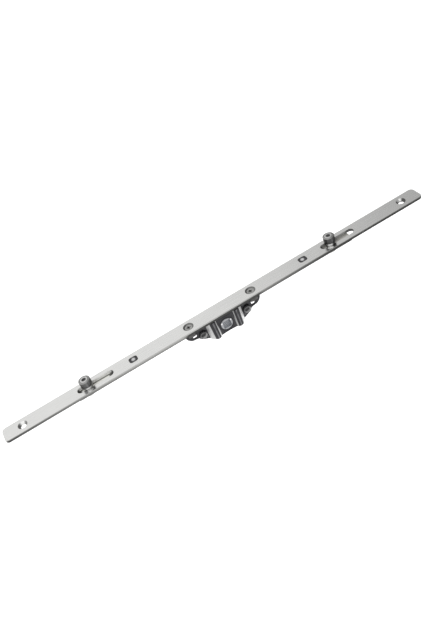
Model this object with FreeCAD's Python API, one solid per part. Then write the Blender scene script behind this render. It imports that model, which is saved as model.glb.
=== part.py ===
import FreeCAD, Part
import math
import os

os.makedirs("parts", exist_ok=True)
V = FreeCAD.Vector
X_AXIS = V(1, 0, 0)
Y_AXIS = V(0, 1, 0)
Z_AXIS = V(0, 0, 1)

# Frame: origin on the outer face of the faceplate, halfway along it.
# +X runs along the plate, +Z points out of the plate, the gearbox hangs below it.

# Overall sizes
plate_length = 400.0
plate_width = 16.0
plate_thickness = 2.5
plate_corner_radius = 3.5
edge_break = 0.3
backset = 15.0
spindle_square = 7.0
handle_screw_spacing = 43.0
travel = 18.0
turn = 90.0

# Fits and clearances
running_gap = 0.05
seat_gap = 0.05
guide_gap = 0.1
slide_gap = 0.1
square_gap = 0.05
end_gap = 0.4
backlash = 0.2

# Faceplate holes
end_hole_inset = 17.0
end_hole_radius = 2.4
end_sink_radius = 4.2
cam_slot_centre = 117.0
cam_slot_length = 33.0
cam_slot_width = 6.8
clip_position = 82.0
clip_window_length = 7.6
clip_window_width = 7.0
clip_window_corner = 2.2
clip_ledge = 0.6
clip_head_depth = 0.9
fixing_position = 30.0
fixing_sink_radius = 4.6
fixing_sink_slope = 1.5

# Drive bar
bar_past_left_cam = 10.7
bar_past_right_cam = 19.3
bar_width = 11.0
bar_thickness = 2.5
bar_corner = 1.5
spare_hole_radius = 1.5
spare_hole_before = 8.0
spare_hole_after = 22.4
rack_width = 5.6

# Cams, placed by the slot's left end
cam_from_slot_end = 8.7
cam_offset = 0.8
cam_stem_radius = 3.0
cam_shank_radius = 2.45
cam_flange_radius = 4.5
cam_flange_low = 0.3
cam_flange_thickness = 0.7
cam_journal_radius = 2.5
cam_head_radius = 3.5
cam_head_thickness = 1.4
cam_height = 8.15
roller_radius = 5.0
roller_chamfer = 0.9
roller_chamfer_drop = 0.35
hex_across_flats = 3.6
hex_depth = 2.2
washer_radius = 4.5
washer_thickness = 1.0
spring_washer_thickness = 0.4
spring_washer_height = 0.7
rivet_end_radius = 3.3
rivet_end_height = 0.6

# Guide clips
clip_neck_width = 5.0
clip_neck_length = 6.0
clip_barb_reach = 1.0
clip_foot_height = 2.2
clip_slit_width = 1.5
clip_dish_radius = 2.9
clip_dish_depth = 0.6

# Pinion
tooth_pitch = travel / 3.0
tooth_angle = turn / 3.0
pressure_angle = math.radians(20.0)
pitch_radius = travel / math.radians(turn)
tip_radius = 12.3
root_radius = 9.6
tooth_count = 5
pinion_thickness = 5.0
journal_radius = 5.5
square_corner = 0.6
hub_front = 4.4
hub_edge = 0.7

# Gearbox case
case_bottom = 23.5
case_top_gap = 0.3
case_back = 5.0
lug_front = -0.6
lug_split = 0.3
lug_back = 1.2
chamber_half_width = 12.9
chamber_half_depth = 2.7
chamber_bottom = 20.8
chamber_corner = 3.0
flank_foot_top = 17.2
flank_foot_bottom = 16.8
rib_outer_top = 14.0
rib_outer_bottom = 13.4
rib_inner = 8.4
rib_shoulder = 4.8
rib_crown = 6.0
recess_half_width = 7.1
recess_floor = 3.8
recess_top = 7.4
recess_band_front = 4.6
bottom_arch = 0.35
back_inset = 1.2
back_corner = 1.5
lug_rise = 0.6

# Lug details
bush_outer_radius = 3.4
bush_bore_radius = 2.6
bush_front = 2.6
bush_back = 5.0
lug_past_screw = 6.2
lug_end_height = 3.3
lug_end_bulge = 1.1
lug_under_window = 0.9
lug_waist = 0.2
lug_window_inset = 3.4
lug_window_length = 3.6
lug_window_height = 4.7
lug_window_corner = 0.8
lug_foot_past_flank = 0.9
bush_wall = 1.15
bush_wall_below = 2.5
block_half_width = 2.8
block_half_length = 4.0
block_bottom = 10.0
pin_radius = 0.7
cover_rivet_radius = 1.2
upper_rivet_inset = 2.5
upper_rivet_rise = 6.5
lower_rivet_inset = 3.3
lower_rivet_drop = 4.4

# Countersunk fixing screws
screw_radius = 2.0
screw_length = 4.55
screw_sunk = 0.8
cross_span = 3.6
cross_width = 1.0
cross_depth = 1.1

# Overrun of every cut past the face that it leaves
past = 1.0
far_past = 20.0

# Levels measured from the sizes above
plate_back = -plate_thickness
bar_top = plate_back - guide_gap
bar_bottom = bar_top - bar_thickness
case_top = bar_bottom - case_top_gap
cam_slots = [-cam_slot_centre, cam_slot_centre]
cam_places = [centre - cam_slot_length / 2 + cam_from_slot_end for centre in cam_slots]
handle_x = handle_screw_spacing / 2
screw_head_radius = fixing_sink_radius - fixing_sink_slope * screw_sunk - seat_gap
bar_left = cam_places[0] - bar_past_left_cam
bar_right = cam_places[1] + bar_past_right_cam
back_half_width = flank_foot_bottom - back_inset


def save(shape, node):
    shape.exportStep("parts/" + node + ".step")


def block(x0, x1, y0, y1, z0, z1):
    return Part.makeBox(x1 - x0, y1 - y0, z1 - z0, V(x0, y0, z0))


def upright(x, y, z0, z1, radius):
    return Part.makeCylinder(radius, z1 - z0, V(x, y, z0), Z_AXIS)


def across(x, z, y0, y1, radius):
    return Part.makeCylinder(radius, y1 - y0, V(x, y0, z), Y_AXIS)


def corners(solid, axis, radius):
    # rounds the edges that run along one axis
    picked = []
    for edge in solid.Edges:
        if len(edge.Vertexes) == 2:
            run = edge.Vertexes[1].Point.sub(edge.Vertexes[0].Point)
            if run.Length > 1e-6 and abs(abs(run.normalize().dot(axis)) - 1) < 1e-6:
                picked.append(edge)
    return solid.makeFillet(radius, picked)


def rounded_block(x0, x1, y0, y1, z0, z1, radius):
    return corners(block(x0, x1, y0, y1, z0, z1), Z_AXIS, radius)


def stadium(x0, x1, half_width, z0, z1):
    # a straight slot or tongue with round ends, from end to end
    body = block(x0 + half_width, x1 - half_width, -half_width, half_width, z0, z1)
    for x in (x0 + half_width, x1 - half_width):
        body = body.fuse(upright(x, 0, z0, z1, half_width))
    return body.removeSplitter()


def prism_xz(points, y0, y1):
    wire = Part.makePolygon([V(x, y0, z) for x, z in points] + [V(points[0][0], y0, points[0][1])])
    return Part.Face(wire).extrude(V(0, y1 - y0, 0))


def mirrored(shape):
    return shape.mirror(V(0, 0, 0), X_AXIS)


# Faceplate: rounded strip with countersunk ends, cam slots and clip windows
plate = rounded_block(
    -plate_length / 2, plate_length / 2, -plate_width / 2, plate_width / 2,
    plate_back, 0, plate_corner_radius)
rim = [edge for edge in plate.Edges if all(abs(v.Point.z) < 1e-6 for v in edge.Vertexes)]
plate = plate.makeFillet(edge_break, rim)
end_hole_x = plate_length / 2 - end_hole_inset
for side in (-1, 1):
    x = side * end_hole_x
    sink = end_sink_radius - end_hole_radius
    plate = plate.cut(upright(x, 0, plate_back - past, past, end_hole_radius))
    plate = plate.cut(Part.makeCone(end_hole_radius, end_sink_radius, sink, V(x, 0, -sink)))
    x = side * fixing_position
    hole = screw_radius + seat_gap
    sink = (fixing_sink_radius - hole) / fixing_sink_slope
    plate = plate.cut(upright(x, 0, plate_back - past, past, hole))
    plate = plate.cut(Part.makeCone(hole, fixing_sink_radius, sink, V(x, 0, -sink)))
    x = side * clip_position
    for inset, low in ((0, -clip_head_depth), (clip_ledge, plate_back - past)):
        half_x = clip_window_length / 2 - inset
        half_y = clip_window_width / 2 - inset
        plate = plate.cut(rounded_block(
            x - half_x, x + half_x, -half_y, half_y, low, past, clip_window_corner))
for centre in cam_slots:
    plate = plate.cut(stadium(
        centre - cam_slot_length / 2, centre + cam_slot_length / 2,
        cam_slot_width / 2, plate_back - past, past))
save(plate, "faceplate")

# Drive bar: flat bar with rack windows, guide slots, cam holes and spare holes
bar = rounded_block(
    bar_left, bar_right, -bar_width / 2, bar_width / 2, bar_bottom, bar_top, bar_corner)
pitch_level = -(backset - pitch_radius)
half_window = (tooth_pitch / 2 + backlash / 2) / 2
for k in range(tooth_count):
    centre = tooth_pitch / 2 - k * tooth_pitch
    low = bar_bottom - past / 2
    high = bar_top + past / 2
    lean_low = (pitch_level - low) * math.tan(pressure_angle)
    lean_high = (high - pitch_level) * math.tan(pressure_angle)
    gap = prism_xz([
        (centre - half_window - lean_low, low), (centre + half_window + lean_low, low),
        (centre + half_window - lean_high, high), (centre - half_window + lean_high, high)],
        -rack_width / 2, rack_width / 2)
    bar = bar.cut(gap)
block_slot = block_half_width + slide_gap
clip_slot = clip_neck_width / 2 + slide_gap
for side in (-1, 1):
    for place, half_length, half_slot in (
            (side * fixing_position, block_half_length, block_slot),
            (side * clip_position, clip_neck_length / 2, clip_slot)):
        bar = bar.cut(stadium(
            place - travel - half_length - end_gap, place + half_length + end_gap,
            half_slot, bar_bottom - past, bar_top + past))
for place in cam_places:
    for x, radius in (
            (place, cam_shank_radius + running_gap),
            (place - spare_hole_before, spare_hole_radius),
            (place + spare_hole_after, spare_hole_radius)):
        if x + radius * 2 < bar_right:
            bar = bar.cut(upright(x, 0, bar_bottom - past, bar_top + past, radius))
save(bar, "drive_bar")

# Cam: hexagon-socket stud with an offset journal, free roller, spring washer and end washer
flange_top = cam_flange_low + cam_flange_thickness
head_low = cam_height - cam_head_thickness
spring_low = bar_bottom - spring_washer_height
washer_low = spring_low - washer_thickness
for place, side in zip(cam_places, ("left", "right")):
    axis_x = place + cam_offset
    stud = upright(place, 0, bar_top, cam_flange_low, cam_stem_radius)
    stud = stud.fuse(upright(place, 0, washer_low, bar_top, cam_shank_radius))
    end = Part.makeCone(
        rivet_end_radius * 0.7, rivet_end_radius, rivet_end_height,
        V(place, 0, washer_low - rivet_end_height))
    stud = stud.fuse(end)
    stud = stud.fuse(upright(axis_x, 0, cam_flange_low, flange_top, cam_flange_radius))
    stud = stud.fuse(upright(axis_x, 0, flange_top, head_low, cam_journal_radius))
    head = upright(axis_x, 0, head_low, cam_height, cam_head_radius)
    top_edge = [e for e in head.Edges if len(e.Vertexes) == 1 and e.Vertexes[0].Point.z > cam_height - 0.01]
    head = head.makeChamfer(edge_break, top_edge)
    stud = stud.fuse(head)
    reach = hex_across_flats / math.sqrt(3)
    ring = []
    for i in range(7):
        a = math.radians(60 * i)
        ring.append(V(axis_x + reach * math.cos(a), reach * math.sin(a), cam_height - hex_depth))
    stud = stud.cut(Part.Face(Part.makePolygon(ring)).extrude(V(0, 0, hex_depth + past)))
    save(stud.removeSplitter(), "cam_stud_" + side)

    roller_low = flange_top + seat_gap
    roller_high = cam_height - edge_break / 2
    land = roller_radius - roller_chamfer
    roller = upright(axis_x, 0, roller_low, roller_high - roller_chamfer_drop, roller_radius)
    roller = roller.fuse(Part.makeCone(
        roller_radius, land, roller_chamfer_drop,
        V(axis_x, 0, roller_high - roller_chamfer_drop)))
    roller = roller.cut(upright(axis_x, 0, 0, cam_height, cam_journal_radius + running_gap))
    roller = roller.cut(upright(
        axis_x, 0, head_low - seat_gap, cam_height + past, cam_head_radius + running_gap))
    save(roller.removeSplitter(), "cam_roller_" + side)

    bore = cam_shank_radius + seat_gap
    t = spring_washer_thickness
    profile = Part.makePolygon([
        V(place + washer_radius, 0, bar_bottom),
        V(place + washer_radius, 0, bar_bottom - t),
        V(place + bore, 0, spring_low),
        V(place + bore, 0, spring_low + t),
        V(place + washer_radius, 0, bar_bottom)])
    cone = Part.Face(profile).revolve(V(place, 0, 0), Z_AXIS, 360)
    save(cone, "cam_spring_washer_" + side)

    ring = upright(place, 0, washer_low, spring_low, washer_radius)
    ring = ring.cut(upright(place, 0, washer_low - past, spring_low + past, bore))
    save(ring, "cam_end_washer_" + side)

# Guide clip: flush head on the window's ledge, split neck, barbs under the drive bar
neck_half = clip_neck_length / 2
leg = clip_neck_width / 2
barb_top = bar_bottom - seat_gap
for side_x, side in ((-1, "left"), (1, "right")):
    x = side_x * clip_position
    head_x = clip_window_length / 2 - seat_gap
    head_y = clip_window_width / 2 - seat_gap
    clip = rounded_block(
        x - head_x, x + head_x, -head_y, head_y,
        -clip_head_depth, -seat_gap * 4, clip_window_corner)
    clip = clip.fuse(stadium(x - neck_half, x + neck_half, leg, barb_top, -clip_head_depth))
    foot = Part.makePolygon([
        V(x, -leg - clip_barb_reach, barb_top), V(x, leg + clip_barb_reach, barb_top),
        V(x, leg - edge_break, barb_top - clip_foot_height),
        V(x, -leg + edge_break, barb_top - clip_foot_height),
        V(x, -leg - clip_barb_reach, barb_top)])
    foot = Part.Face(foot).extrude(V(neck_half - edge_break * 2, 0, 0)).fuse(
        Part.Face(foot).extrude(V(-neck_half + edge_break * 2, 0, 0)))
    clip = clip.fuse(foot)
    half_slit = clip_slit_width / 2
    clip = clip.cut(block(
        x - clip_neck_length, x + clip_neck_length, -half_slit, half_slit, -far_past, bar_top))
    ball = (clip_dish_radius ** 2 + clip_dish_depth ** 2) / (2 * clip_dish_depth)
    clip = clip.cut(Part.makeSphere(ball, V(x, 0, ball - clip_dish_depth - seat_gap * 4)))
    save(clip.removeSplitter(), "guide_clip_" + side)


# Lug outline shared by both covers, drawn on the right and mirrored
pin_z = (case_top - block_bottom) / 2
window_inner = fixing_position - lug_window_inset
window_bottom = block_bottom + lug_window_height
upper_rivet_x = handle_x - upper_rivet_inset
upper_rivet_z = -backset + upper_rivet_rise
lower_rivet_x = handle_x - lower_rivet_inset
lower_rivet_z = -backset - lower_rivet_drop


def lug_sheet(y0, y1):
    def around_bush(degrees, wall):
        r = bush_outer_radius + wall
        a = math.radians(degrees)
        return V(handle_x + r * math.cos(a), y0, -backset + r * math.sin(a))

    tip = fixing_position + lug_past_screw
    foot = flank_foot_bottom - lug_foot_past_flank
    low = -case_bottom + lug_rise
    end_low = case_top - lug_end_height
    under = V(fixing_position + past, y0, -window_bottom - lug_under_window)
    beside = around_bush(-20, bush_wall)
    below = around_bush(-100, bush_wall_below)
    end_middle = V((tip + under.x) / 2 + lug_end_bulge, y0, (end_low + under.z) / 2 - lug_end_bulge / 2)
    waist = V((under.x + beside.x) / 2 - lug_waist, y0, (under.z + beside.z) / 2 + lug_waist)
    edges = [
        Part.makeLine(V(0, y0, case_top), V(tip, y0, case_top)),
        Part.makeLine(V(tip, y0, case_top), V(tip, y0, end_low)),
        Part.Arc(V(tip, y0, end_low), end_middle, under).toShape(),
        Part.Arc(under, waist, beside).toShape(),
        Part.Arc(beside, around_bush(-62, bush_wall), below).toShape(),
        Part.makeLine(below, V(foot, y0, low)),
        Part.makeLine(V(foot, y0, low), V(0, y0, low)),
        Part.makeLine(V(0, y0, low), V(0, y0, case_top))]
    half = Part.Face(Part.Wire(edges)).extrude(V(0, y1 - y0, 0))
    slack = seat_gap / 2
    for x, z, radius in (
            (handle_x, -backset, bush_outer_radius),
            (fixing_position, pin_z, pin_radius),
            (upper_rivet_x, upper_rivet_z, cover_rivet_radius),
            (lower_rivet_x, lower_rivet_z, cover_rivet_radius)):
        half = half.cut(across(x, z, y0 - past, y1 + past, radius + slack))
    corner = min(lug_window_corner, lug_window_length * 0.45, lug_window_height * 0.45)
    half = half.cut(corners(
        block(window_inner, window_inner + lug_window_length, y0 - past, y1 + past,
              -window_bottom, -block_bottom),
        Y_AXIS, corner))
    return half.fuse(mirrored(half)).removeSplitter()


def front_profile(z, foot, rib_outer):
    right = [
        V(foot, lug_front, z), V(rib_outer, -rib_shoulder, z),
        V((rib_outer + rib_inner) / 2, -rib_crown, z), V(rib_inner, -rib_shoulder, z),
        V(recess_half_width, -recess_floor, z)]
    left = [V(-q.x, q.y, q.z) for q in right]
    return Part.Wire([
        Part.makeLine(right[0], right[1]),
        Part.Arc(right[1], right[2], right[3]).toShape(),
        Part.makeLine(right[3], right[4]),
        Part.makeLine(right[4], left[4]),
        Part.makeLine(left[4], left[3]),
        Part.Arc(left[3], left[2], left[1]).toShape(),
        Part.makeLine(left[1], left[0]),
        Part.makeLine(left[0], right[0])])


def chamber(y0, y1):
    room = block(-chamber_half_width, chamber_half_width, y0, y1, -chamber_bottom, 0)
    low = [e for e in room.Edges if all(abs(v.Point.z + chamber_bottom) < 1e-6 for v in e.Vertexes)
           and abs(e.Vertexes[0].Point.y - e.Vertexes[1].Point.y) > 1]
    return room.makeFillet(chamber_corner, low)


# Gearbox covers: the front one has two ribs and a recess, the back one is plain
journal_hole = journal_radius + running_gap
front = Part.makeLoft([
    front_profile(case_top, flank_foot_top, rib_outer_top),
    front_profile(-case_bottom, flank_foot_bottom, rib_outer_bottom)], True, True)
front = front.fuse(block(
    -rib_inner - edge_break, rib_inner + edge_break, -recess_band_front, -chamber_half_depth,
    -recess_top, case_top))
front = front.fuse(lug_sheet(lug_front, lug_split))
arch_radius = (recess_half_width ** 2 + bottom_arch ** 2) / (2 * bottom_arch)
front = front.cut(across(
    0, -case_bottom - arch_radius + bottom_arch, -recess_floor - bottom_arch, lug_split + past,
    arch_radius))
front = front.cut(chamber(-chamber_half_depth, lug_split + past))
front = front.cut(across(0, -backset, -far_past, 0, journal_hole))
save(front.removeSplitter(), "gearbox_front_cover")

back = lug_sheet(lug_split, lug_back)
shell = corners(
    block(-back_half_width, back_half_width, lug_split, case_back, -case_bottom + lug_rise, case_top),
    Y_AXIS, back_corner)
back = back.fuse(shell)
back = back.cut(chamber(lug_split - past, chamber_half_depth))
back = back.cut(across(0, -backset, 0, far_past, journal_hole))
save(back.removeSplitter(), "gearbox_back_cover")


# Drive pinion: toothed sector on a hub with a square hole for the handle spindle
def involute_half_angle(radius):
    half_pitch = (tooth_pitch / 2 - backlash / 2) / 2 / pitch_radius
    base = pitch_radius * math.cos(pressure_angle)
    a = math.acos(min(1.0, base / radius))
    return half_pitch + (math.tan(pressure_angle) - pressure_angle) - (math.tan(a) - a)


def at(radius, angle):
    return V(-radius * math.sin(angle), -pinion_thickness / 2, -backset + radius * math.cos(angle))


def tooth(angle):
    base = pitch_radius * math.cos(pressure_angle) + 0.001
    mid = (base + tip_radius) / 2
    s = [involute_half_angle(r) for r in (base, mid, tip_radius)]
    inner = root_radius - square_corner
    edges = [
        Part.makeLine(at(inner, angle - s[0]), at(base, angle - s[0])),
        Part.Arc(at(base, angle - s[0]), at(mid, angle - s[1]), at(tip_radius, angle - s[2])).toShape(),
        Part.Arc(at(tip_radius, angle - s[2]), at(tip_radius, angle), at(tip_radius, angle + s[2])).toShape(),
        Part.Arc(at(tip_radius, angle + s[2]), at(mid, angle + s[1]), at(base, angle + s[0])).toShape(),
        Part.makeLine(at(base, angle + s[0]), at(inner, angle + s[0])),
        Part.makeLine(at(inner, angle + s[0]), at(inner, angle - s[0]))]
    return Part.Face(Part.Wire(edges)).extrude(V(0, pinion_thickness, 0))


first = math.radians(-tooth_angle / 2)
last = first + math.radians(tooth_angle) * (tooth_count - 1)
margin = math.radians(8.5)
steps = 6
fan = [at(0, 0)]
for i in range(steps + 1):
    angle = first - margin + (last - first + 2 * margin) * i / steps
    fan.append(at(root_radius * 1.5, angle))
fan.append(at(0, 0))
wedge = Part.Face(Part.makePolygon(fan)).extrude(V(0, pinion_thickness, 0))
disc = across(0, -backset, -pinion_thickness / 2, pinion_thickness / 2, root_radius)
pinion = disc.common(wedge)
for k in range(tooth_count):
    pinion = pinion.fuse(tooth(first + math.radians(tooth_angle) * k))
hub = across(0, -backset, -hub_front, case_back, journal_radius)
hub_rim = [e for e in hub.Edges if len(e.Vertexes) == 1 and e.Vertexes[0].Point.y < 0]
pinion = pinion.fuse(hub.makeFillet(hub_edge, hub_rim))
half_square = spindle_square / 2 + square_gap
pinion = pinion.cut(corners(
    block(-half_square, half_square, -far_past, far_past,
          -backset - half_square, -backset + half_square),
    Y_AXIS, square_corner))
save(pinion.removeSplitter(), "drive_pinion")

# Lug pieces: threaded fixing blocks, their cross pins, handle screw bushes, cover rivets
pins = []
rivets = []
for side_x, side in ((-1, "left"), (1, "right")):
    x = side_x * fixing_position
    fork = stadium(
        x - block_half_length, x + block_half_length, block_half_width, -block_bottom, plate_back)
    fork = fork.cut(block(
        x - far_past, x + far_past, lug_front - seat_gap, lug_back + seat_gap, -far_past, case_top))
    fork = fork.cut(upright(x, 0, case_top - past, past, screw_radius + seat_gap))
    fork = fork.cut(across(x, pin_z, -far_past, far_past, pin_radius + seat_gap / 2))
    save(fork, "fixing_block_" + side)

    pins.append(across(x, pin_z, -block_half_width, block_half_width, pin_radius))

    head_depth = (screw_head_radius - screw_radius) / fixing_sink_slope
    screw = Part.makeCone(
        screw_radius, screw_head_radius, head_depth, V(x, 0, -screw_sunk - head_depth))
    screw = screw.fuse(upright(
        x, 0, -screw_sunk - screw_length, -screw_sunk - head_depth / 2, screw_radius))
    for span_x, span_y in ((cross_span, cross_width), (cross_width, cross_span)):
        screw = screw.cut(block(
            x - span_x / 2, x + span_x / 2, -span_y / 2, span_y / 2, -screw_sunk - cross_depth, past))
    save(screw.removeSplitter(), "gearbox_screw_" + side)

    x = side_x * handle_x
    bush = across(x, -backset, -bush_front, bush_back, bush_outer_radius)
    bush = bush.cut(across(x, -backset, -far_past, far_past, bush_bore_radius))
    save(bush, "handle_bush_" + side)

    for rivet_x, rivet_z in ((upper_rivet_x, upper_rivet_z), (lower_rivet_x, lower_rivet_z)):
        rivets.append(across(side_x * rivet_x, rivet_z, lug_front, lug_back, cover_rivet_radius))
save(Part.makeCompound(pins), "block_pins")
save(Part.makeCompound(rivets), "cover_rivets")
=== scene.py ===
import math

import bpy
from mathutils import Matrix, Vector


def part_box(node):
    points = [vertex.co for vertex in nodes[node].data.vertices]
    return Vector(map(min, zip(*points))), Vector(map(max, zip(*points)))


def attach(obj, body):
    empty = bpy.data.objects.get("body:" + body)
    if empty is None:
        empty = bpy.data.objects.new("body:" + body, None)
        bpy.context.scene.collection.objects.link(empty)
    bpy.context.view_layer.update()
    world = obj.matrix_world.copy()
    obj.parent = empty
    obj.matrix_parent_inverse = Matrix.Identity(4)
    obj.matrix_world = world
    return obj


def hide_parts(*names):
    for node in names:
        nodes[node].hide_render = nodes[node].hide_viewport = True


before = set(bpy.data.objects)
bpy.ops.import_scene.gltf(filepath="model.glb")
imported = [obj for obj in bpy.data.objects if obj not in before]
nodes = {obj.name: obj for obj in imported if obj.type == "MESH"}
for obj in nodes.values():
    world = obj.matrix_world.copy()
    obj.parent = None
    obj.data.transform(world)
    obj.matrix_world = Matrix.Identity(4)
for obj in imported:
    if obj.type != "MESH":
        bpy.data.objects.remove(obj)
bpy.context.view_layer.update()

scene = bpy.context.scene
bpy.ops.object.select_all(action="DESELECT")

# Studio: a pale floor well below the espagnolette, so that its shadow spreads out softly, and
# a plain pale room, which metal mirrors darker towards the right. One soft lamp hangs overhead
# and two small ones stand low at the sides. They light the parts but aren't mirrored in them.


def fill(tree, node, values):
    for key, value in values.items():
        if isinstance(value, bpy.types.NodeSocket):
            tree.links.new(value, node.inputs[key])
        else:
            node.inputs[key].default_value = value


def put(tree, kind, values, **settings):
    made = tree.nodes.new("ShaderNode" + kind)
    for name, value in settings.items():
        setattr(made, name, value)
    fill(tree, made, values)
    return made


def maths(tree, operation, *values):
    return put(tree, "Math", dict(enumerate(values)), operation=operation).outputs[0]


def blend(tree, amount, first, second):
    return put(tree, "Mix", {0: amount, 2: first, 3: second}).outputs[0]


def axis_of(tree, vector, letter):
    return put(tree, "SeparateXYZ", {0: vector}).outputs[letter]


floor_level = -0.36
floor_size = 8.0
floor_glow = 0.45
pale_grey = (0.86, 0.86, 0.86, 1)
bpy.ops.mesh.primitive_grid_add(
    x_subdivisions=4, y_subdivisions=4, size=floor_size, location=(0, 0, floor_level))
floor = bpy.context.object
floor.name = "studio_floor"
bpy.ops.object.transform_apply(location=True)
floor.select_set(False)
floor_paint = bpy.data.materials.new("floor_paint")
floor_paint.use_nodes = True
tree = floor_paint.node_tree
paint = tree.nodes["Principled BSDF"]
fill(tree, paint, {"Base Color": pale_grey, "Roughness": 0.9, "Specular IOR Level": 0.1})
ray = put(tree, "LightPath", {}).outputs
direct = maths(tree, "MAXIMUM", ray["Is Camera Ray"], ray["Is Glossy Ray"])
seen = maths(tree, "MAXIMUM", direct, ray["Is Transmission Ray"])
strength = maths(tree, "MULTIPLY", seen, floor_glow)
glow = put(tree, "Emission", {"Color": (1, 1, 1, 1), "Strength": strength})
both = put(tree, "AddShader", {0: paint.outputs[0], 1: glow.outputs[0]})
fill(tree, tree.nodes["Material Output"], {"Surface": both.outputs[0]})
floor.data.materials.append(floor_paint)

backdrop_strength = 1.17
mirrored_left = 1.06
mirrored_right = 0.42
room = bpy.data.worlds.new("studio_room")
scene.world = room
room.use_nodes = True
tree = room.node_tree
rightward = axis_of(tree, put(tree, "TexCoord", {}).outputs["Generated"], "X")
mirrored = put(tree, "MapRange", {
    "Value": rightward, "From Min": 0.03, "From Max": 0.60, "To Min": mirrored_left,
    "To Max": mirrored_right}, interpolation_type="SMOOTHSTEP").outputs["Result"]
direct = put(tree, "LightPath", {}).outputs["Is Camera Ray"]
strength = blend(tree, direct, mirrored, backdrop_strength)
fill(tree, tree.nodes["Background"], {"Color": pale_grey, "Strength": strength})


def soft_lamp(name, place, aim, width, height, power):
    lamp = bpy.data.lights.new(name, "AREA")
    lamp.shape = "RECTANGLE"
    lamp.size = width
    lamp.size_y = height
    lamp.energy = power
    holder = bpy.data.objects.new(name, lamp)
    scene.collection.objects.link(holder)
    holder.location = place
    holder.rotation_euler = (Vector(aim) - Vector(place)).to_track_quat("-Z", "Y").to_euler()
    holder.visible_camera = False
    holder.visible_glossy = False


gearbox_middle = (0, 0, -0.015)
soft_lamp("overhead_lamp", (-0.2, -0.15, 1.5), (0, 0, 0), width=2.2, height=2.2, power=15.0)
soft_lamp("low_left_lamp", (-0.30, 0.02, -0.25), gearbox_middle, width=0.16, height=0.16, power=0.08)
soft_lamp("low_right_lamp", (0.28, 0.09, -0.25), gearbox_middle, width=0.22, height=0.16, power=0.1)

# Camera: a close view from above the front, a little from the left,
# held so that the faceplate runs up to the right across an upright picture.
picture_height = 631.0
focal = 750.0
azimuth, elevation, lean, turn = (math.radians(v) for v in (10.3, 39.1, -6.48, 30.568))
offset = (0.0093, -0.00135, 0.6186)
ahead = Vector((
    math.sin(azimuth) * math.cos(elevation), math.cos(azimuth) * math.cos(elevation),
    -math.sin(elevation)))
right = Vector((math.cos(azimuth), -math.sin(azimuth), 0))
down = ahead.cross(right)
along = math.cos(lean) * right + math.sin(lean) * down
below = -math.sin(lean) * right + math.cos(lean) * down
stand = -(along * offset[0] + below * offset[1] + ahead * offset[2])
side = math.cos(turn) * along + math.sin(turn) * below
up = math.sin(turn) * along - math.cos(turn) * below
lens = bpy.data.cameras.new("camera")
lens.sensor_fit = "VERTICAL"
lens.sensor_height = 36.0
lens.lens = focal / picture_height * lens.sensor_height
lens.clip_start = 0.01
camera = bpy.data.objects.new("camera", lens)
scene.collection.objects.link(camera)
camera.matrix_world = Matrix((
    (side.x, up.x, -ahead.x, stand.x), (side.y, up.y, -ahead.y, stand.y),
    (side.z, up.z, -ahead.z, stand.z), (0, 0, 0, 1)))
scene.camera = camera
scene.view_settings.view_transform = "Standard"

# Faceplate: a cold-rolled steel strip, punched and countersunk, then zinc plated.
# Its face keeps the rolling grain. Its outer edges are smooth near the face, where the blade cut them,
# and dark and torn lower down, the dark being partly torn steel and partly painted shade.


def effect(name, vectors, numbers, results):
    group = bpy.data.node_groups.new(name, "ShaderNodeTree")
    for title in vectors:
        group.interface.new_socket(name=title, in_out="INPUT", socket_type="NodeSocketVector")
    for title, start in numbers.items():
        number = group.interface.new_socket(name=title, in_out="INPUT", socket_type="NodeSocketFloat")
        number.default_value = start
    for title in results:
        group.interface.new_socket(name=title, in_out="OUTPUT", socket_type="NodeSocketFloat")
    return group, group.nodes.new("NodeGroupInput").outputs, group.nodes.new("NodeGroupOutput")


def use(tree, group, values):
    return put(tree, "Group", values, node_tree=group).outputs


def finish_named(name):
    finish = bpy.data.materials.new(name)
    finish.use_nodes = True
    tree = finish.node_tree
    return finish, tree, tree.nodes["Principled BSDF"], put(tree, "TexCoord", {}).outputs["Object"]


def facing_in(tree):
    return put(tree, "TexCoord", {}).outputs["Normal"]


def grey(level):
    return level, level, level


def blend_colours(tree, amount, first, second):
    mixed = put(tree, "Mix", {0: amount}, data_type="RGBA")
    for key, colour in ((6, first), (7, second)):
        fill(tree, mixed, {key: colour if isinstance(colour, bpy.types.NodeSocket) else (*colour, 1)})
    return mixed.outputs[2]


def between(tree, amount, low, high, start=0.0, end=1.0):
    return put(tree, "MapRange", {
        "Value": amount, "From Min": start, "From Max": end, "To Min": low, "To Max": high}).outputs[0]


def rise(tree, value, start, end):
    return between(tree, value, 0.0, 1.0, start, end)


def fall_off(tree, value, start, end):
    return between(tree, value, 1.0, 0.0, start, end)


def size_of(tree, value):
    return maths(tree, "ABSOLUTE", value)


def gap_from(tree, value, line):
    return size_of(tree, maths(tree, "SUBTRACT", value, line))


def product(tree, first, second):
    return maths(tree, "MULTIPLY", first, second)


def rest_of(tree, whole, taken):
    return put(tree, "Math", {0: whole, 1: taken}, operation="SUBTRACT", use_clamp=True).outputs[0]


def raise_by(tree, shader, height, distance):
    bump = put(tree, "Bump", {"Height": height, "Distance": distance, "Strength": 1.0})
    fill(tree, shader, {"Normal": bump.outputs[0]})


def dress(finish, *names):
    for name in names:
        for held in nodes[name].material_slots:
            held.material = finish


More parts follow.
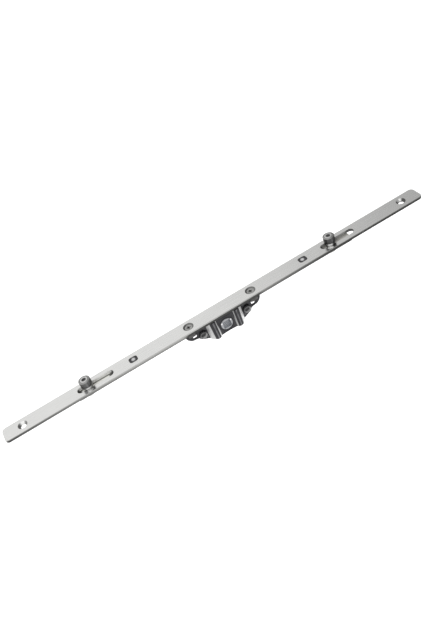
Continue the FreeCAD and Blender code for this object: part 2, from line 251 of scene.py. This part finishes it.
# rolling grain: fine streaks along the strip, and slow cloudy patches from the plating
grain_group, given, result = effect(
    "rolling_grain", ["Place"], {"Streaks": 2600.0, "Patches": 60.0}, ["Grain", "Cloud"])
drawn = put(grain_group, "Mapping", {"Vector": given["Place"], "Scale": (0.012, 1.0, 0.4)})
streaks = put(grain_group, "TexNoise", {
    "Vector": drawn.outputs[0], "Scale": given["Streaks"], "Detail": 4.0, "Roughness": 0.6})
patches = put(grain_group, "TexNoise", {
    "Vector": given["Place"], "Scale": given["Patches"], "Detail": 2.0, "Roughness": 0.5})
fill(grain_group, result, {"Grain": streaks.outputs[0], "Cloud": patches.outputs[0]})

# cut edge: sideways faces, torn below a wavy line, and the slope of a countersink
edge_group, given, result = effect(
    "cut_edge", ["Place", "Facing"], {"Line": -0.0008}, ["Torn", "Side", "Slope"])
waviness = 0.0003
ripple = put(edge_group, "TexNoise", {"Vector": given["Place"], "Scale": 700.0, "Detail": 2.0})
wavy_line = maths(edge_group, "MULTIPLY_ADD", ripple.outputs[0], waviness, given["Line"])
below_line = maths(edge_group, "SUBTRACT", wavy_line, axis_of(edge_group, given["Place"], "Z"))
upright = size_of(edge_group, axis_of(edge_group, given["Facing"], "Z"))
off_middle = size_of(edge_group, axis_of(edge_group, given["Place"], "Y"))
side = fall_off(edge_group, upright, 0.20, 0.45)
torn = product(edge_group, side, rise(edge_group, below_line, 0.0, 0.00025))
sloping = fall_off(edge_group, upright, 0.88, 0.96)
slope = product(edge_group, sloping, fall_off(edge_group, off_middle, 0.0058, 0.0062))
fill(edge_group, result, {"Torn": torn, "Side": side, "Slope": slope})

# places on the plate: its long rims, past the bar, the end holes, and above the gearbox
plate_finish, tree, shader, place = finish_named("bright_zinc_strip")
plate_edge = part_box("faceplate")[1].y
plate_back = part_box("faceplate")[0].z
bar_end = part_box("drive_bar")[1].x
case_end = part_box("gearbox_front_cover")[1].x
facing = facing_in(tree)
endways = size_of(tree, axis_of(tree, facing, "X"))
upright = size_of(tree, axis_of(tree, facing, "Z"))
along = axis_of(tree, place, "X")
from_middle = size_of(tree, along)
off_middle = size_of(tree, axis_of(tree, place, "Y"))
rim = rise(tree, off_middle, plate_edge - 0.0018, plate_edge - 0.0008)
not_rim = rest_of(tree, 1.0, rim)
at_right = rise(tree, along, 0.05, 0.10)
at_ends = rise(tree, from_middle, 0.14, 0.16)
past_bar = rise(tree, along, bar_end - 0.0025, bar_end + 0.0005)
above_case = fall_off(tree, from_middle, case_end - 0.0022, case_end + 0.0018)

# the edges are lightest a little left of the middle, and darker towards both ends
brightest_x = -0.05
toward_ends = rise(tree, gap_from(tree, along, brightest_x), 0.03, 0.16)
grain = use(tree, grain_group, {"Place": place})
face = blend_colours(tree, grain["Cloud"], (0.762, 0.762, 0.752), (0.822, 0.822, 0.807))

# only the outer edges are torn: the line for the slots lies past the back of the plate
slot_line = plate_back - 0.0005
rim_line = between(tree, toward_ends, -0.0010, -0.0005)
torn_line = blend(tree, rim, slot_line, rim_line)
edge = use(tree, edge_group, {"Place": place, "Facing": facing, "Line": torn_line})

# outer edges: burnished by the cut, with a rounding that is darker than the face
burnished = (0.46, 0.46, 0.45)
rounding = product(tree, rim, fall_off(tree, upright, 0.75, 0.99))
face = blend_colours(tree, rounding, face, blend_colours(tree, toward_ends, burnished, (0.34, 0.34, 0.33)))
rim_wall = blend_colours(tree, toward_ends, burnished, (0.26, 0.26, 0.255))

# slot walls: painted pale as lit at the left and greyer as shaded at the right, and dark as shade past
# the bar and at their ends
wall = blend_colours(tree, at_right, (0.97, 0.97, 0.95), (0.38, 0.38, 0.37))
wall = blend_colours(tree, past_bar, wall, grey(0.05))
face = blend_colours(tree, edge["Side"], face, blend_colours(tree, rim, wall, rim_wall))
slot_wall = product(tree, edge["Side"], not_rim)
round_end = product(tree, rise(tree, endways, 0.35, 0.75), slot_wall)
left_end = rest_of(tree, at_ends, at_right)
shaded_end_wall = blend_colours(tree, left_end, (0.10, 0.10, 0.098), (0.30, 0.30, 0.295))
face = blend_colours(tree, round_end, face, shaded_end_wall)

# countersinks: painted dark as shade round the gearbox screws, and in the end holes painted bright as a
# reflection, with sides painted dark as shade
cone = rest_of(tree, edge["Slope"], edge["Side"])
face = blend_colours(tree, product(tree, cone, at_ends), face, (0.98, 0.98, 0.97))
shaded_sides = rise(tree, endways, 0.30, 0.58)
shaded_sides = maths(tree, "MAXIMUM", shaded_sides, between(tree, at_right, 0.0, 0.12))
cone_shade = product(tree, cone, blend(tree, at_ends, 1.0, shaded_sides))
end_cone_shade = blend_colours(tree, at_right, (0.28, 0.28, 0.275), (0.10, 0.10, 0.098))
cone_shade_colour = blend_colours(tree, at_ends, (0.20, 0.20, 0.195), end_cone_shade)
face = blend_colours(tree, cone_shade, face, cone_shade_colour)

# torn edges, painted darker above the gearbox as the shadow they stand in there
ripped = blend_colours(tree, toward_ends, (0.30, 0.30, 0.29), (0.05, 0.05, 0.048))
ripped = blend_colours(tree, above_case, ripped, (0.07, 0.07, 0.068))
smooth = between(tree, grain["Grain"], 0.18, 0.30, 0.3, 0.7)
fill(tree, shader, {
    "Base Color": blend_colours(tree, edge["Torn"], face, ripped),
    "Metallic": between(tree, slot_wall, 1.0, 0.08),
    "Roughness": blend(tree, edge["Side"], smooth, 0.5)})
raise_by(tree, shader, grain["Grain"], 0.000006)
dress(plate_finish, "faceplate")

# Drive bar: flat steel bar that slides behind the faceplate, pierced for the rack, the
# guides and the cams, zinc plated and lightly greased. It is painted darker than the plate as shade,
# most of all at the right, with a painted shadow line along it and painted shade round three spare
# holes.


def middle_of(name):
    low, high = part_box(name)
    return (low + high) / 2


def distance_from(tree, vector, centre, axes):
    shift = [-c * a for c, a in zip(centre, axes)]
    moved = put(tree, "Mapping", {"Vector": vector, "Location": shift, "Scale": axes})
    return put(tree, "VectorMath", {0: moved.outputs[0]}, operation="LENGTH").outputs["Value"]


level_axes = (1.0, 1.0, 0.0)
roller_x = {hand: middle_of("cam_roller_" + hand).x for hand in ("left", "right")}
hole_before_roller = 0.0088
hole_after_roller = 0.0216
spare_holes = (
    roller_x["left"] - hole_before_roller, roller_x["left"] + hole_after_roller,
    roller_x["right"] - hole_before_roller)
hole_y = 0.0004
shadow_line_y = 0.00225
bar_finish, tree, shader, place = finish_named("shaded_zinc_bar")
grain = use(tree, grain_group, {"Place": place, "Streaks": 3200.0, "Patches": 140.0})
edge = use(tree, edge_group, {"Place": place, "Facing": facing_in(tree), "Line": -0.0024})
right_half = rise(tree, axis_of(tree, place, "X"), -0.02, 0.05)
face = blend_colours(tree, grain["Cloud"], (0.72, 0.72, 0.69), (0.80, 0.80, 0.76))
# painted shade: the bar darker towards the right
face = blend_colours(tree, right_half, face, (0.42, 0.415, 0.39))
# a painted shadow line along the bar, under the far slot walls, fainter at the right
from_line = gap_from(tree, axis_of(tree, place, "Y"), shadow_line_y)
painted_shadow_line = product(tree, fall_off(tree, from_line, 0.0004, 0.0008), between(tree, right_half, 1.0, 0.3))
face = blend_colours(tree, painted_shadow_line, face, (0.045, 0.043, 0.032))
# painted shade round the spare holes
for hole_x in spare_holes:
    from_hole = distance_from(tree, place, (hole_x, hole_y, 0.0), level_axes)
    face = blend_colours(tree, fall_off(tree, from_hole, 0.0022, 0.0034), face, (0.09, 0.09, 0.085))
smooth = between(tree, grain["Grain"], 0.24, 0.40, 0.3, 0.7)
fill(tree, shader, {
    "Base Color": blend_colours(tree, edge["Torn"], face, (0.04, 0.04, 0.038)),
    "Metallic": 0.3,
    "Roughness": blend(tree, edge["Torn"], smooth, 0.55)})
raise_by(tree, shader, grain["Grain"], 0.000008)
dress(bar_finish, "drive_bar")

# Gearbox covers: two zinc castings with a dark satin coat, riveted together. The front one carries
# two ribs beside the hub. Their sides and the case's sides are painted bright as highlights, a different
# shade on each side. Along the crests the coat is rubbed thin, painted pale there as a highlight too.


def eased_copy(name, width, body):
    bpy.ops.object.select_all(action="DESELECT")
    nodes[name].select_set(True)
    bpy.context.view_layer.objects.active = nodes[name]
    bpy.ops.object.duplicate()
    piece = bpy.context.object
    piece.name = name + "_eased"
    bpy.ops.object.mode_set(mode="EDIT")
    bpy.ops.mesh.select_all(action="SELECT")
    bpy.ops.mesh.remove_doubles(threshold=1e-6)
    bpy.ops.mesh.dissolve_limited(angle_limit=math.radians(0.5))
    bpy.ops.object.mode_set(mode="OBJECT")
    eased = piece.modifiers.new("eased_edges", "BEVEL")
    eased.width = width
    eased.segments = 2
    eased.limit_method = "ANGLE"
    eased.angle_limit = math.radians(40)
    bpy.ops.object.modifier_apply(modifier="eased_edges")
    bpy.ops.object.shade_smooth_by_angle(angle=math.radians(35))
    piece.select_set(False)
    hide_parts(name)
    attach(piece, body)


# cast skin: fine orange peel, and clouds where the coat or the plating is thinner
skin_group, given, result = effect("cast_skin", ["Place"], {"Fineness": 900.0}, ["Peel", "Cloud"])
peel = put(skin_group, "TexNoise", {
    "Vector": given["Place"], "Scale": given["Fineness"], "Detail": 3.0, "Roughness": 0.55})
clouds = put(skin_group, "TexNoise", {"Vector": given["Place"], "Scale": 160.0, "Detail": 3.0})
fill(skin_group, result, {"Peel": peel.outputs[0], "Cloud": clouds.outputs[0]})


def skin_on(tree, shader, place, fineness, smooth, rough, depth):
    skin = use(tree, skin_group, {"Place": place, "Fineness": fineness})
    fill(tree, shader, {"Roughness": between(tree, skin["Peel"], smooth, rough, 0.3, 0.7)})
    raise_by(tree, shader, skin["Peel"], depth)
    return skin["Cloud"]


rib_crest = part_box("gearbox_front_cover")[0].y
lug_front = -0.0006
case_finish, tree, shader, place = finish_named("dark_satin_coat")
cloud = skin_on(tree, shader, place, fineness=900.0, smooth=0.24, rough=0.38, depth=0.00002)
across = axis_of(tree, place, "X")
forward = axis_of(tree, place, "Y")
on_right = rise(tree, across, -0.002, 0.002)
outer = rise(tree, size_of(tree, across), 0.0098, 0.0124)
behind_inner = rise(tree, forward, rib_crest + 0.0007, rib_crest + 0.0011)
behind_outer = rise(tree, forward, rib_crest + 0.0012, rib_crest + 0.0018)
behind_crest = blend(tree, outer, behind_inner, behind_outer)
sideways = rise(tree, size_of(tree, axis_of(tree, facing_in(tree), "X")), 0.42, 0.60)
before_lug = fall_off(tree, forward, lug_front - 0.00015, lug_front - 0.00002)
# painted highlights on the sides of the ribs and of the case
lit_sides = product(tree, product(tree, sideways, before_lug), behind_crest)
# a pale line along the crests: rubbed coat, painted as a highlight as well
crest = fall_off(tree, forward, rib_crest - 0.00004, rib_crest + 0.0001)
rubbed_crest_highlight = product(tree, crest, between(tree, cloud, 0.35, 1.0, 0.35, 0.6))
coat = blend_colours(tree, cloud, (0.026, 0.026, 0.028), (0.052, 0.052, 0.055))
coat = blend_colours(tree, rubbed_crest_highlight, coat, (0.24, 0.24, 0.25))
lit_inner_side = blend_colours(tree, on_right, grey(0.72), grey(0.42))
lit_outer_side = blend_colours(tree, on_right, grey(0.56), grey(0.95))
fill(tree, shader, {
    "Base Color": blend_colours(tree, lit_sides, coat, blend_colours(tree, outer, lit_inner_side, lit_outer_side)),
    "Metallic": between(tree, lit_sides, 1.0, 0.2)})
dress(case_finish, "gearbox_front_cover", "gearbox_back_cover")
for cover in ("gearbox_front_cover", "gearbox_back_cover"):
    eased_copy(cover, width=0.0003, body="case")

# Cover rivets: four steel rivets that hold the two covers together,
# set flush in the lugs and coated with the case.
rivet_finish, tree, shader, place = finish_named("coated_rivet")
cloud = skin_on(tree, shader, place, fineness=1500.0, smooth=0.28, rough=0.44, depth=0.00002)
coat = blend_colours(tree, cloud, (0.05, 0.05, 0.052), (0.11, 0.11, 0.112))
fill(tree, shader, {"Base Color": coat, "Metallic": 1.0})
dress(rivet_finish, "cover_rivets")

# Handle bushes: turned steel tubes pressed through the lugs, blackened outside,
# that the handle screws pass through. The bore is painted bright at its mouth as a glint, and dark
# deeper in as shade.


def folded(tree, vector):
    split = put(tree, "SeparateXYZ", {0: vector}).outputs
    parts = {0: size_of(tree, split["X"]), 1: split["Y"], 2: split["Z"]}
    return put(tree, "CombineXYZ", parts).outputs[0]


upright_axes = (1.0, 0.0, 1.0)
bush = middle_of("handle_bush_right")
bore_radius = 0.0026
bush_finish, tree, shader, place = finish_named("blackened_tube")
cloud = skin_on(tree, shader, place, fineness=2200.0, smooth=0.26, rough=0.42, depth=0.00001)
from_bush = distance_from(tree, folded(tree, place), bush, upright_axes)
in_bore = fall_off(tree, from_bush, bore_radius + 0.00005, bore_radius + 0.0002)
# painted glint at the bore's mouth, and painted shade deeper in
at_mouth = fall_off(tree, axis_of(tree, place, "Y"), -0.0014, 0.0004)
tube = blend_colours(tree, cloud, (0.09, 0.09, 0.093), (0.15, 0.15, 0.154))
bore_glint_and_shade = blend_colours(tree, at_mouth, (0.07, 0.07, 0.072), grey(0.75))
fill(tree, shader, {
    "Base Color": blend_colours(tree, in_bore, tube, bore_glint_and_shade),
    "Metallic": between(tree, in_bore, 0.55, 0.3)})
dress(bush_finish, "handle_bush_left", "handle_bush_right")
for hand in ("left", "right"):
    eased_copy("handle_bush_" + hand, width=0.00025, body="case")

# Fixing blocks and their pins: threaded steel forks that straddle the lugs,
# held by a cross pin, plain and slightly oily.
block_finish, tree, shader, place = finish_named("oily_steel")
cloud = skin_on(tree, shader, place, fineness=1200.0, smooth=0.26, rough=0.40, depth=0.00002)
oiled = blend_colours(tree, cloud, grey(0.06), (0.11, 0.108, 0.105))
fill(tree, shader, {"Base Color": oiled, "Metallic": 1.0})
dress(block_finish, "fixing_block_left", "fixing_block_right", "block_pins")
for hand in ("left", "right"):
    eased_copy("fixing_block_" + hand, width=0.0002, body="case")

# Drive pinion: a hardened steel sector with a hub on each side and a square hole for the
# handle spindle, level with the bushes. The hub's face is turned and the hole is broached.
# Two glints are painted beside the hole, right and left of its upper half.
socket_half = 0.00355
glint_x = 0.0046
glint_rise = 0.0025
pinion_finish, tree, shader, place = finish_named("turned_steel")
centred = put(tree, "Mapping", {"Vector": place, "Location": (0.0, 0.0, -bush.z)}).outputs[0]
rings = put(tree, "TexWave", {
    "Vector": centred, "Scale": 900.0, "Distortion": 0.6, "Detail": 2.0, "Detail Scale": 3.0},
    wave_type="RINGS", rings_direction="Y").outputs[1]
skin = use(tree, skin_group, {"Place": place, "Fineness": 1500.0})
off_x = size_of(tree, axis_of(tree, centred, "X"))
off_z = size_of(tree, axis_of(tree, centred, "Z"))
off_square = maths(tree, "MAXIMUM", off_x, off_z)
in_socket = fall_off(tree, off_square, socket_half + 0.00002, socket_half + 0.00007)
# two painted glints beside the socket
from_glint = distance_from(tree, folded(tree, centred), (glint_x, 0.0, glint_rise), upright_axes)
turned_face = blend_colours(tree, skin["Cloud"], (0.25, 0.255, 0.265), (0.38, 0.385, 0.40))
turned_face = blend_colours(tree, fall_off(tree, from_glint, 0.0005, 0.0011), turned_face, grey(0.95))
fill(tree, shader, {
    "Base Color": blend_colours(tree, in_socket, turned_face, (0.29, 0.30, 0.32)),
    "Metallic": 1.0,
    "Roughness": between(tree, rings, 0.22, 0.34)})
raise_by(tree, shader, rings, 0.000008)
dress(pinion_finish, "drive_pinion")

# Cams: a steel stud with a hexagon socket, riveted through the drive bar with its
# washers, and a free roller on it. Turned, then plated. The roller's side is painted dark high
# up and paler near the plate as reflections, a shade for each cam, with a painted glint low on one side.
turned_group, given, result = effect(
    "turned_rings", ["Place"], {"Pitch": 5000.0}, ["Rings", "Streaks"])
from_axis = distance_from(turned_group, given["Place"], (0.0, 0.0, 0.0), level_axes)
wave = maths(turned_group, "SINE", product(turned_group, from_axis, given["Pitch"]))
drawn_up = put(turned_group, "Mapping", {"Vector": given["Place"], "Scale": (1.0, 1.0, 0.06)})
streaks = put(turned_group, "TexNoise", {"Vector": drawn_up.outputs[0], "Scale": 700.0, "Detail": 3.0})
fill(turned_group, result, {"Rings": rise(turned_group, wave, -1.0, 1.0), "Streaks": streaks.outputs[0]})

washer_finish, tree, shader, place = finish_named("plated_washer")
cloud = skin_on(tree, shader, place, fineness=1500.0, smooth=0.25, rough=0.40, depth=0.00001)
plating = blend_colours(tree, cloud, (0.48, 0.48, 0.47), (0.62, 0.62, 0.60))
fill(tree, shader, {"Base Color": plating, "Metallic": 1.0})

# the side of each cam that carries the painted glint, and the painted shades of each cam's side
glint_sides = {"left": (0.08, -0.99, 0.0), "right": (-0.50, -0.86, 0.0)}
painted_side_shades = {"left": (0.07, 0.15, 0.25), "right": (0.04, 0.10, 0.10)}
hexagon_reach = 0.0021
head_radius = 0.0035
head_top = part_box("cam_stud_left")[1].z
for hand in ("left", "right"):
    dark, pale, low = (grey(shade) for shade in painted_side_shades[hand])
    cam_finish, tree, shader, place = finish_named("plated_cam_" + hand)
    centred = put(tree, "Mapping", {"Vector": place, "Location": (-roller_x[hand], 0.0, 0.0)}).outputs[0]
    turned = use(tree, turned_group, {"Place": centred})
    from_axis = distance_from(tree, centred, (0.0, 0.0, 0.0), level_axes)
    height = axis_of(tree, place, "Z")
    in_hexagon = fall_off(tree, from_axis, hexagon_reach + 0.00002, hexagon_reach + 0.0001)
    in_socket = product(tree, in_hexagon, fall_off(tree, height, head_top - 0.0002, head_top - 0.00015))

    # the side: streaked, painted paler near the plate as the plate's reflection, and with a painted
    # glint low on one side
    level = put(tree, "Mapping", {"Vector": centred, "Scale": level_axes})
    outward = put(tree, "VectorMath", {0: level.outputs[0]}, operation="NORMALIZE")
    towards = put(
        tree, "VectorMath", {0: outward.outputs[0], 1: glint_sides[hand]}, operation="DOT_PRODUCT")
    on_glint_side = rise(tree, towards.outputs["Value"], 0.80, 0.93)
    glint = product(tree, fall_off(tree, height, 0.0019, 0.0027), on_glint_side)
    wall = blend_colours(tree, rise(tree, turned["Streaks"], 0.40, 0.70), dark, pale)
    wall = blend_colours(tree, fall_off(tree, height, 0.0013, 0.0028), wall, low)
    wall = blend_colours(tree, glint, wall, grey(0.95))

    # the top: the stud's head is paler than the roller's end, and its socket is dark
    faces_up = rise(tree, axis_of(tree, facing_in(tree), "Z"), 0.3, 0.6)
    upper = product(tree, faces_up, rise(tree, height, 0.0055, 0.0065))
    on_roller = rise(tree, from_axis, head_radius - 0.0002, head_radius + 0.0001)
    top = blend_colours(tree, on_roller, (0.62, 0.62, 0.615), (0.36, 0.36, 0.355))
    cam_colour = blend_colours(tree, upper, wall, top)
    fill(tree, shader, {
        "Base Color": blend_colours(tree, in_socket, cam_colour, grey(0.16)),
        "Metallic": between(tree, in_socket, 1.0, 0.25),
        "Roughness": between(tree, turned["Rings"], 0.24, 0.34)})
    raise_by(tree, shader, turned["Rings"], 0.000006)
    dress(cam_finish, "cam_stud_" + hand, "cam_roller_" + hand)
    dress(washer_finish, "cam_end_washer_" + hand, "cam_spring_washer_" + hand)
    eased_copy("cam_roller_" + hand, width=0.0002, body="roller_" + hand)
    eased_copy("cam_stud_" + hand, width=0.00015, body="stud_" + hand)

# Guide clips: moulded black clips that snap through the faceplate and keep the drive bar
# against it. Each head is dished, with a pale spot painted a little behind its middle as a highlight.
clip_x = middle_of("guide_clip_right").x
highlight_y = 0.0007
clip_finish, tree, shader, place = finish_named("moulded_black")
cloud = skin_on(tree, shader, place, fineness=1300.0, smooth=0.22, rough=0.38, depth=0.00002)
# a painted highlight on each head
from_highlight = distance_from(tree, folded(tree, place), (clip_x, highlight_y, 0.0), level_axes)
moulded = blend_colours(tree, cloud, (0.022, 0.022, 0.024), (0.045, 0.045, 0.047))
moulded = blend_colours(tree, fall_off(tree, from_highlight, 0.0010, 0.0021), moulded, (0.50, 0.50, 0.505))
fill(tree, shader, {"Base Color": moulded, "Specular IOR Level": 0.3})
dress(clip_finish, "guide_clip_left", "guide_clip_right")
for hand in ("left", "right"):
    eased_copy("guide_clip_" + hand, width=0.0003, body="case")

# Gearbox screws: countersunk machine screws with a cross recess, zinc plated,
# driven down through the faceplate into the fixing blocks. The recess is painted dark as shade.
recess_depth = 0.0009
screw_finish, tree, shader, place = finish_named("plated_screw")
cloud = skin_on(tree, shader, place, fineness=1600.0, smooth=0.20, rough=0.34, depth=0.00001)
# painted shade in the recess
shaded_recess = fall_off(tree, axis_of(tree, place, "Z"), -recess_depth - 0.0004, -recess_depth)
head = blend_colours(tree, cloud, (0.34, 0.34, 0.33), (0.46, 0.46, 0.45))
fill(tree, shader, {"Base Color": blend_colours(tree, shaded_recess, head, grey(0.05)), "Metallic": 1.0})
dress(screw_finish, "gearbox_screw_left", "gearbox_screw_right")
for hand in ("left", "right"):
    eased_copy("gearbox_screw_" + hand, width=0.00012, body="case")
